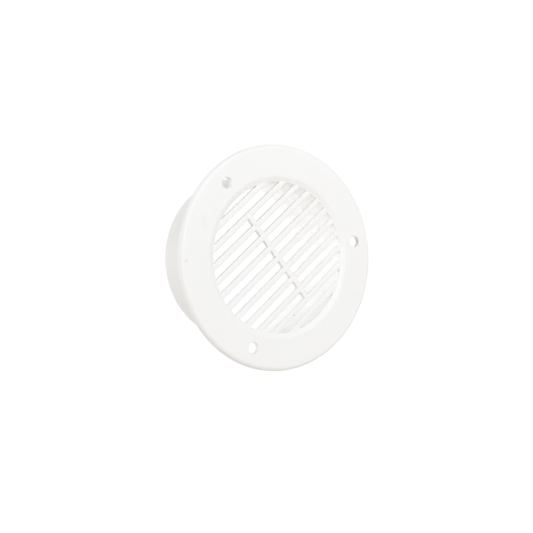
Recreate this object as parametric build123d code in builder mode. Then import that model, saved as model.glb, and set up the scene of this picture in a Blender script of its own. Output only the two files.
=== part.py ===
from build123d import *
import os

# Round louvred air vent, moulded in one piece of white plastic.
# The tube's axis is Y: the flange's face looks along -Y and the tube runs back along +Y.
# The bars lie level along X, and +Z is up. The origin is the centre of the flange's back face.
# All sizes are in millimetres.

# Tube that a duct or hose fits over
tube_outer_diameter = 76.0
tube_wall = 2.0
tube_length = 36.4
tube_end_rounding = 0.5

# Flange that is screwed to the wall
flange_width = 13.0  # from the outside of the tube to the rim
flange_thickness = 2.5
rim_rounding = 2.0
root_rounding = 0.5  # where the tube leaves the flange's back

# Screw holes
hole_count = 3
hole_diameter = 5.0
hole_inset = 8.5  # from the rim to a hole's centre
hole_rounding = 0.3
first_hole_angle = 90.0  # one hole at the top

# Opening inside the flange, with a lip that slopes in from the flange's face
ledge_width = 2.0  # step inside the tube, in to the opening
ledge_rounding = 1.2  # back edge of the opening
lip_width = 2.5
lip_depth = 1.1
lip_start_rounding = 2.0  # where the lip leaves the flange's face
lip_end_rounding = 0.4  # where it turns into the opening's wall

# Grille of level bars and one upright rib, set in behind the flange's face
grille_recess = 0.9
bar_width = 2.6
bar_depth = 2.1
bar_pitch = 6.1
bar_rounding = 0.65
rib_width = 2.5
rib_rounding = 0.3
smallest_end_slot = 1.5  # height of the slot beyond the last bar, at the least

# Radii from the axis
tube_radius = tube_outer_diameter / 2
bore_radius = tube_radius - tube_wall
flange_radius = tube_radius + flange_width
hole_circle_radius = flange_radius - hole_inset
opening_radius = bore_radius - ledge_width
lip_radius = opening_radius + lip_width
bar_end_radius = (bore_radius + tube_radius) / 2  # the bars run into the tube's wall

# Places along the axis
face_y = -flange_thickness
lip_back_y = face_y + lip_depth
grille_back_y = face_y + grille_recess + bar_depth
grille_middle_y = grille_back_y - bar_depth / 2

# Bars stand either side of a middle one, and the rib joins all but the outermost two
bars_each_side = int((opening_radius - bar_width / 2 - smallest_end_slot) / bar_pitch)
bar_count = 2 * bars_each_side + 1
rib_length = 2 * (bars_each_side - 1) * bar_pitch

face_plane = Plane.XZ.offset(-face_y)
grille_plane = Plane.XZ.offset(-grille_middle_y)


with BuildPart() as vent_body:
    # Half section of the flange, lip and tube, with its roundings
    with BuildSketch(Plane.XY) as section:
        with BuildLine():
            Polyline(
                (lip_radius, face_y),
                (flange_radius, face_y),
                (flange_radius, 0),
                (tube_radius, 0),
                (tube_radius, tube_length),
                (bore_radius, tube_length),
                (bore_radius, grille_back_y),
                (opening_radius, grille_back_y),
                (opening_radius, lip_back_y),
                close=True,
            )
        make_face()
        fillet(section.vertices().sort_by_distance((lip_radius, face_y))[0], lip_start_rounding)
        fillet(section.vertices().sort_by_distance((opening_radius, lip_back_y))[0], lip_end_rounding)
        fillet(section.vertices().sort_by_distance((opening_radius, grille_back_y))[0], ledge_rounding)
        fillet(section.vertices().sort_by_distance((flange_radius, face_y))[0], rim_rounding)
        fillet(section.vertices().sort_by_distance((tube_radius, 0))[0], root_rounding)
        fillet(section.vertices().group_by(Axis.Y)[-1], tube_end_rounding)
    revolve(axis=Axis.Y)

    # Bars and rib with rounded front edges, cut off round inside the tube's wall
    with BuildPart() as grille:
        with BuildSketch(Plane.YZ) as bar_ends:
            with Locations((grille_middle_y, 0)):
                with GridLocations(0, bar_pitch, 1, bar_count):
                    Rectangle(bar_depth, bar_width)
            fillet(bar_ends.vertices().group_by(Axis.X)[0], bar_rounding)
        extrude(amount=bar_end_radius, both=True)
        with BuildSketch(Plane.XY) as rib_end:
            with Locations((0, grille_middle_y)):
                Rectangle(rib_width, bar_depth)
            fillet(rib_end.vertices().group_by(Axis.Y)[0], rib_rounding)
        extrude(amount=rib_length / 2, both=True)
        with Locations(grille_plane):
            Cylinder(bar_end_radius, 2 * bar_depth, mode=Mode.INTERSECT)

    # Screw holes with rounded front edges
    with Locations(face_plane):
        with PolarLocations(hole_circle_radius, hole_count, start_angle=first_hole_angle):
            Hole(hole_diameter / 2, depth=flange_thickness)
    fillet(vent_body.edges(Select.LAST).group_by(Axis.Y)[0], hole_rounding)

vent_body.part.label = "vent_body"

os.makedirs("parts", exist_ok=True)
export_step(vent_body.part, "parts/vent_body.step")
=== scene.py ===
"""Looks of a round louvred air vent, moulded in one piece of satin white plastic."""

import logging
import math
from dataclasses import dataclass
from typing import Any

import bmesh
import bpy
from mathutils import Matrix, Quaternion, Vector


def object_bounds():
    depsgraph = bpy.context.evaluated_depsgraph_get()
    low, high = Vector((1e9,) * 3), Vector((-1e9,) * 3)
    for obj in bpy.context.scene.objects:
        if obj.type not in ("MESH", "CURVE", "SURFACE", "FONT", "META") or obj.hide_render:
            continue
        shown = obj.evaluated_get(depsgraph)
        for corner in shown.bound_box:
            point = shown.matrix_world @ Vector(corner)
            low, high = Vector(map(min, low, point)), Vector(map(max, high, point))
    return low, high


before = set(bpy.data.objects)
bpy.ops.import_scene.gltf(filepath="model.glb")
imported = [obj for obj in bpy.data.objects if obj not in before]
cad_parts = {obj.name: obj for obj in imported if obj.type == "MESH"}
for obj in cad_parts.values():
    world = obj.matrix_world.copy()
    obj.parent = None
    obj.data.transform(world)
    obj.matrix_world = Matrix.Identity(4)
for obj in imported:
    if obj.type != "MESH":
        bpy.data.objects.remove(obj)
cad_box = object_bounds()

log = logging.getLogger("air_vent")

Colour = tuple[float, float, float]
Triple = tuple[float, float, float]

MM = 0.001
IMAGE_PIXELS = 533

# Values between which a noise pattern mostly stays
NOISE_LOW = 0.3
NOISE_HIGH = 0.7

# Places of the two front surfaces along the tube's axis
FLANGE_FACE_MM = cad_box[0].y / MM
GRILLE_RECESS_MM = 0.9
GRILLE_FACE_MM = FLANGE_FACE_MM + GRILLE_RECESS_MM


@dataclass
class NodeGraph:
    """Short calls that add nodes to a tree.

    Attributes:
        tree: Node tree that the nodes go into.
    """

    tree: bpy.types.NodeTree

    def add(self, kind: str, inputs: dict[str | int, Any] | None = None, **settings: Any) -> bpy.types.Node:
        """Add one node.

        Args:
            kind: Type of the node, without ShaderNode in front.
            inputs: Sockets to link or values to set, by the input's name or number.
            settings: Other properties of the node.

        Returns:
            The node.
        """
        node = self.tree.nodes.new("ShaderNode" + kind)
        for name, value in settings.items():
            setattr(node, name, value)
        self.feed(node, inputs or {})
        return node

    def feed(self, node: bpy.types.Node, inputs: dict[str | int, Any]) -> None:
        """Link sockets or set values on a node's inputs.

        Args:
            node: Node to feed.
            inputs: Sockets to link or values to set, by the input's name or number.
        """
        for key, value in inputs.items():
            if isinstance(value, bpy.types.NodeSocket):
                self.tree.links.new(value, node.inputs[key])
            else:
                node.inputs[key].default_value = value

    def seen_directly(self) -> bpy.types.NodeSocket:
        """Add nodes that tell camera, glossy and transmission rays from the rest.

        Returns:
            A socket that is 1 on those rays and 0 on others.
        """
        path = self.add("LightPath")
        seen = path.outputs["Is Camera Ray"]
        for ray in ("Is Glossy Ray", "Is Transmission Ray"):
            seen = self.add("Math", {0: seen, 1: path.outputs[ray]}, operation="MAXIMUM").outputs[0]
        return seen

    def noise(self, place: bpy.types.NodeSocket, size_mm: float, detail: float) -> bpy.types.NodeSocket:
        """Add a noise pattern.

        Args:
            place: Coordinates in metres.
            size_mm: Width of the pattern's patches.
            detail: Number of finer layers.

        Returns:
            A socket with the pattern, mostly between NOISE_LOW and NOISE_HIGH.
        """
        pattern = {"Vector": place, "Scale": 1 / (size_mm * MM), "Detail": detail}
        return self.add("TexNoise", pattern).outputs["Fac"]

    def spread(self, value: bpy.types.NodeSocket, low: float, high: float) -> bpy.types.NodeSocket:
        """Spread a noise pattern evenly between two values.

        Args:
            value: The noise pattern.
            low: Value where the pattern is low.
            high: Value where the pattern is high.

        Returns:
            A socket with the spread pattern.
        """
        ends = {"Value": value, "From Min": NOISE_LOW, "From Max": NOISE_HIGH, "To Min": low, "To Max": high}
        return self.add("MapRange", ends, interpolation_type="SMOOTHSTEP").outputs["Result"]

    def mix(self, share: bpy.types.NodeSocket, first: Any, second: Any) -> bpy.types.NodeSocket:
        """Mix two colours.

        Args:
            share: Share of the second colour.
            first: First colour or its socket.
            second: Second colour or its socket.

        Returns:
            A socket with the mixed colour.
        """
        # A colour mix takes its colours at inputs 6 and 7 and gives the result at output 2
        return self.add("Mix", {0: share, 6: first, 7: second}, data_type="RGBA").outputs[2]


@dataclass(frozen=True)
class ViewingCamera:
    """The camera that sees the vent as the photograph does.

    Attributes:
        azimuth_deg: Turn of the camera about the vent, from the front towards +X.
        elevation_deg: Height of the camera above the tube's axis.
        roll_deg: Turn of the camera about its own view, top towards the right.
        distance_mm: From the lens to the point it aims at.
        focal_pixels: Focal length in pixels of the square image.
        aim_mm: Point that the camera looks at.
        aim_offset_pixels: Where that point shows, right of and above the image's centre.
        sensor_mm: Width of the sensor.
        nearest_m: Distance at which the view starts.
        farthest_m: Distance at which the view ends.
    """

    azimuth_deg: float = -27.08
    elevation_deg: float = 20.19
    roll_deg: float = 35.42
    distance_mm: float = 503.2
    focal_pixels: float = 1117.9
    aim_mm: Triple = (0.0, -0.72, 0.0)
    aim_offset_pixels: tuple[float, float] = (11.75, 8.82)
    sensor_mm: float = 36.0
    nearest_m: float = 0.01
    farthest_m: float = 20.0

    def towards_camera(self) -> Vector:
        """Work out the unit vector from the vent to the lens."""
        azimuth = math.radians(self.azimuth_deg)
        elevation = math.radians(self.elevation_deg)
        level = math.cos(elevation)
        return Vector((math.sin(azimuth) * level, -math.cos(azimuth) * level, math.sin(elevation)))

    def build(self) -> bpy.types.Object:
        """Make the camera and hand it to the scene.

        Returns:
            The camera object.
        """
        data = bpy.data.cameras.new("viewing_camera")
        data.sensor_width = self.sensor_mm
        data.lens = self.sensor_mm * self.focal_pixels / IMAGE_PIXELS
        data.shift_x = -self.aim_offset_pixels[0] / IMAGE_PIXELS
        data.shift_y = -self.aim_offset_pixels[1] / IMAGE_PIXELS
        data.clip_start = self.nearest_m
        data.clip_end = self.farthest_m
        camera = bpy.data.objects.new("viewing_camera", data)
        upright = (-self.towards_camera()).to_track_quat("-Z", "Y")
        camera.rotation_mode = "QUATERNION"
        camera.rotation_quaternion = upright @ Quaternion((0.0, 0.0, 1.0), -math.radians(self.roll_deg))
        camera.location = (Vector(self.aim_mm) + self.towards_camera() * self.distance_mm) * MM
        bpy.context.scene.collection.objects.link(camera)
        bpy.context.scene.camera = camera
        return camera


@dataclass(frozen=True)
class SoftLamp:
    """A round lamp with a broad, even face.

    Attributes:
        name: Name of the lamp.
        direction: From the vent towards the lamp.
        distance_m: From the vent's middle to the lamp.
        width_deg: Width of the lamp's face as the vent's middle sees it.
        radiance: Brightness of the lamp's face, where 1 is as bright as white paper.
        colour: Tint of the light.
    """

    name: str
    direction: Triple
    distance_m: float
    width_deg: float
    radiance: float
    colour: Colour = (1.0, 1.0, 1.0)

    def build(self) -> bpy.types.Object:
        """Make the lamp and turn it to the vent.

        Returns:
            The lamp object.
        """
        towards = Vector(self.direction).normalized()
        radius = self.distance_m * math.tan(math.radians(self.width_deg) / 2)
        data = bpy.data.lights.new(self.name, "AREA")
        data.shape = "DISK"
        data.size = 2 * radius
        data.energy = self.radiance * math.pi * math.pi * radius ** 2
        data.color = self.colour
        lamp = bpy.data.objects.new(self.name, data)
        lamp.location = towards * self.distance_m
        lamp.rotation_mode = "QUATERNION"
        lamp.rotation_quaternion = towards.to_track_quat("Z", "Y")
        lamp.visible_camera = False
        bpy.context.scene.collection.objects.link(lamp)
        return lamp


@dataclass(frozen=True)
class Floor:
    """Pale floor below the vent.

    Attributes:
        drop_mm: From the lowest point of the vent down to the floor.
        size_m: Side of the floor.
        colour: Colour of the floor.
        roughness: Roughness of its paint, which has no gloss.
        lift: Light added to the floor as it is seen, which leaves it white beside the shadow.
    """

    drop_mm: float = 45.0
    size_m: float = 12.0
    colour: Colour = (0.70, 0.66, 0.59)
    roughness: float = 0.9
    lift: Colour = (0.5, 0.525, 0.585)

    def material(self) -> bpy.types.Material:
        """Make the floor's paint.

        Returns:
            The material.
        """
        material = bpy.data.materials.new("pale_floor")
        material.use_nodes = True
        graph = NodeGraph(material.node_tree)
        paint = graph.tree.nodes["Principled BSDF"]
        matt = {"Roughness": self.roughness, "Specular IOR Level": 0.0}
        graph.feed(paint, {"Base Color": (*self.colour, 1.0), **matt})
        lift = graph.add("Emission", {"Color": (*self.lift, 1.0), "Strength": 1.0})
        lifted = graph.add("AddShader", {0: paint.outputs[0], 1: lift.outputs[0]})
        mix = graph.add("MixShader", {0: graph.seen_directly(), 1: paint.outputs[0], 2: lifted.outputs[0]})
        graph.feed(graph.tree.nodes["Material Output"], {"Surface": mix.outputs[0]})
        return material

    def build(self, lowest_z: float) -> bpy.types.Object:
        """Make the floor.

        Args:
            lowest_z: Height of the vent's lowest point, in metres.

        Returns:
            The floor object.
        """
        sheet = bmesh.new()
        place = Matrix.Translation((0.0, 0.0, lowest_z - self.drop_mm * MM))
        bmesh.ops.create_grid(sheet, x_segments=1, y_segments=1, size=self.size_m / 2, matrix=place)
        data = bpy.data.meshes.new("floor")
        sheet.to_mesh(data)
        sheet.free()
        data.materials.append(self.material())
        floor = bpy.data.objects.new("floor", data)
        bpy.context.scene.collection.objects.link(floor)
        return floor


@dataclass(frozen=True)
class Surroundings:
    """White surroundings that light the vent evenly from all sides.

    Attributes:
        fill: Brightness of the surroundings as light.
        colour: Tint of that light.
    """

    fill: float = 0.525
    colour: Colour = (1.02, 1.03, 0.95)

    def build(self) -> bpy.types.World:
        """Make the surroundings, white as they are seen.

        Returns:
            The world.
        """
        world = bpy.data.worlds.new("white_surroundings")
        world.use_nodes = True
        graph = NodeGraph(world.node_tree)
        light = graph.tree.nodes["Background"]
        graph.feed(light, {"Color": (*self.colour, 1.0), "Strength": self.fill})
        white = graph.add("Background", {"Color": (1.0, 1.0, 1.0, 1.0), "Strength": 1.0})
        mix = graph.add("MixShader", {0: graph.seen_directly(), 1: light.outputs[0], 2: white.outputs[0]})
        graph.feed(graph.tree.nodes["World Output"], {"Surface": mix.outputs[0]})
        bpy.context.scene.world = world
        return world


@dataclass(frozen=True)
class Studio:
    """Everything around the vent that lights it.

    Attributes:
        surroundings: Even light from all sides.
        floor: Pale floor.
        lamps: Soft lamps.
    """

    surroundings: Surroundings = Surroundings()
    floor: Floor = Floor()
    lamps: tuple[SoftLamp, ...] = (
        SoftLamp("key", (0.42, -0.72, 0.55), 0.6, 35, 2.4, (0.97, 0.96, 1.07)),
        SoftLamp("front", (0, -1, 0.17), 60, 35, 3.03, (0.9, 0.99, 1.11)),
        SoftLamp("back", (-0.6, 0.6, 0.5), 60, 35, 2.98, (0.98, 0.97, 1.05)),
        SoftLamp("left", (-0.7, -0.65, 0.3), 60, 35, 0.97, (1.1, 0.92, 0.98)),
        SoftLamp("mouth", (0, 1, 0), 0.1, 53, 1.22, (1, 1, 1)),
    )

    def build(self, lowest_z: float) -> None:
        """Make the studio.

        Args:
            lowest_z: Height of the vent's lowest point, in metres.
        """
        self.surroundings.build()
        log.info("surroundings: fill %.2f", self.surroundings.fill)
        self.floor.build(lowest_z)
        log.info("floor: %.0f mm below the rim", self.floor.drop_mm)
        for lamp in self.lamps:
            lamp.build()
            log.info("lamp: %s, radiance %.2f", lamp.name, lamp.radiance)


@dataclass(frozen=True)
class Mark:
    """A small mark on the plastic.

    Attributes:
        name: What the mark is.
        centre_mm: Middle of the mark, in the vent's frame.
        core_mm: Radius within which it is strongest.
        reach_mm: Radius at which it has faded out.
        colour: Colour of the mark.
        strength: Share of the plastic's colour that it hides in the middle.
    """

    name: str
    centre_mm: Triple
    core_mm: float
    reach_mm: float
    colour: Colour
    strength: float

    def over(self, graph: NodeGraph, place: bpy.types.NodeSocket, under: Any) -> bpy.types.NodeSocket:
        """Lay the mark over a colour.

        Args:
            graph: Graph of the material.
            place: Coordinates in metres.
            under: Colour below the mark.

        Returns:
            A socket with the marked colour.
        """
        centre = tuple(Vector(self.centre_mm) * MM)
        away = graph.add("VectorMath", {0: place, 1: centre}, operation="DISTANCE").outputs["Value"]
        fade = {
            "Value": away,
            "From Min": self.core_mm * MM,
            "From Max": self.reach_mm * MM,
            "To Min": self.strength,
            "To Max": 0.0,
        }
        share = graph.add("MapRange", fade, interpolation_type="SMOOTHSTEP").outputs["Result"]
        return graph.mix(share, under, (*self.colour, 1.0))


# Colours that darken a patch of the flange beside the opening, and its slightly paler tail
DARK_PATCH_COLOUR: Colour = (0.85, 0.835, 0.765)
DARK_PATCH_TAIL_COLOUR: Colour = (0.87, 0.86, 0.80)
FLANGE_SPECK_COLOUR: Colour = (0.55, 0.53, 0.49)
BAR_SPECK_COLOUR: Colour = (0.45, 0.42, 0.38)


@dataclass(frozen=True)
class WhitePlastic:
    """Satin white moulded plastic with a fine skin and a few marks.

    Attributes:
        colour: Colour of most of the plastic.
        aged_colour: Colour of the patches that have yellowed a little.
        patch_mm: Width of those patches.
        patch_detail: Finer layers within those patches.
        smooth: Roughness where the skin is smoothest.
        matt: Roughness where it is most matt.
        sheen_mm: Width of the smoother and more matt patches.
        sheen_detail: Finer layers within the smoother and more matt patches.
        grain_mm: Width of the skin's fine grain.
        grain_detail: Finer layers within that grain.
        grain_depth_mm: Depth of that grain.
        wave_mm: Width of the slow waves left by moulding.
        wave_detail: Finer layers within those waves.
        wave_depth_mm: Depth of those waves.
        refraction: Index of refraction of the plastic.
        marks: Specks and a darker patch.
    """

    colour: Colour = (0.915, 0.915, 0.912)
    aged_colour: Colour = (0.907, 0.905, 0.895)
    patch_mm: float = 18.0
    patch_detail: float = 3.0
    smooth: float = 0.38
    matt: float = 0.5
    sheen_mm: float = 6.0
    sheen_detail: float = 4.0
    grain_mm: float = 0.35
    grain_detail: float = 2.0
    grain_depth_mm: float = 0.004
    wave_mm: float = 14.0
    wave_detail: float = 1.0
    wave_depth_mm: float = 0.03
    refraction: float = 1.5
    marks: tuple[Mark, ...] = (
        Mark("dark speck on the flange", (-37.5, FLANGE_FACE_MM, 29.7), 0.25, 1.0, FLANGE_SPECK_COLOUR, 0.28),
        Mark("dark speck on a bar", (-10.9, GRILLE_FACE_MM, -25.0), 0.15, 0.6, BAR_SPECK_COLOUR, 0.6),
        # These four overlapping dark marks make one darker patch on the flange beside the opening
        Mark("darker patch beside the opening", (-19.6, FLANGE_FACE_MM, 37.5), 0.2, 2.0, DARK_PATCH_COLOUR, 0.36),
        Mark("upper end of the darker patch", (-18.6, FLANGE_FACE_MM, 38.6), 0.2, 2.0, DARK_PATCH_COLOUR, 0.36),
        Mark("lower end of the darker patch", (-20.5, FLANGE_FACE_MM, 36.4), 0.2, 2.0, DARK_PATCH_COLOUR, 0.36),
        Mark("tail of the darker patch", (-21.2, FLANGE_FACE_MM, 34.5), 0.2, 2.4, DARK_PATCH_TAIL_COLOUR, 0.4),
    )

    def build(self) -> bpy.types.Material:
        """Make the material.

        Returns:
            The material, on the vent's own Object coordinates.
        """
        material = bpy.data.materials.new("white_plastic")
        material.use_nodes = True
        graph = NodeGraph(material.node_tree)
        place = graph.add("TexCoord").outputs["Object"]
        ageing = graph.spread(graph.noise(place, self.patch_mm, self.patch_detail), 0.0, 1.0)
        colour = graph.mix(ageing, (*self.colour, 1.0), (*self.aged_colour, 1.0))
        for mark in self.marks:
            colour = mark.over(graph, place, colour)
        roughness = graph.spread(graph.noise(place, self.sheen_mm, self.sheen_detail), self.smooth, self.matt)
        waves = self.relief(graph, graph.noise(place, self.wave_mm, self.wave_detail), self.wave_depth_mm)
        skin = graph.noise(place, self.grain_mm, self.grain_detail)
        grain = self.relief(graph, skin, self.grain_depth_mm, waves)
        shader = graph.tree.nodes["Principled BSDF"]
        finish = {"Base Color": colour, "Roughness": roughness, "Normal": grain, "IOR": self.refraction}
        graph.feed(shader, finish)
        return material

    def relief(
        self,
        graph: NodeGraph,
        height: bpy.types.NodeSocket,
        depth_mm: float,
        under: bpy.types.NodeSocket | None = None,
    ) -> bpy.types.NodeSocket:
        """Add a bump pattern.

        Args:
            graph: Graph of the material.
            height: The pattern.
            depth_mm: Depth of the pattern.
            under: Normal that the pattern lies on, if not the bare surface's.

        Returns:
            A socket with the bumped normal.
        """
        bump = graph.add("Bump", {"Height": height, "Distance": depth_mm * MM, "Strength": 1.0})
        if under is not None:
            graph.feed(bump, {"Normal": under})
        return bump.outputs["Normal"]


@dataclass
class VentMoulding:
    """The vent itself: flange, lip, grille and tube in one moulding.

    Attributes:
        finish: Finish of the plastic.
        node: Name of the solid in the frame.
        slot: Name of the record's material slot; it is not used.
    """

    finish: WhitePlastic
    node: str = "vent_body"
    slot: str = "white_plastic"

    def dress(self) -> bpy.types.Object:
        """Give the moulding its finish.

        Returns:
            The moulding's object.
        """
        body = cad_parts[self.node]
        body.data.materials.clear()
        body.data.materials.append(self.finish.build())
        return body


def main() -> None:
    """Build the pieces in order and report each one."""
    logging.basicConfig(level=logging.INFO, format="%(name)s: %(message)s")
    bpy.context.scene.view_settings.view_transform = "Standard"
    camera = ViewingCamera()
    camera.build()
    log.info("camera: %.1f mm from the vent", camera.distance_mm)
    Studio().build(cad_box[0].z)
    moulding = VentMoulding(WhitePlastic())
    body = moulding.dress()
    log.info("piece: %s, %d faces", body.name, len(body.data.polygons))


if __name__ == "__main__":
    main()
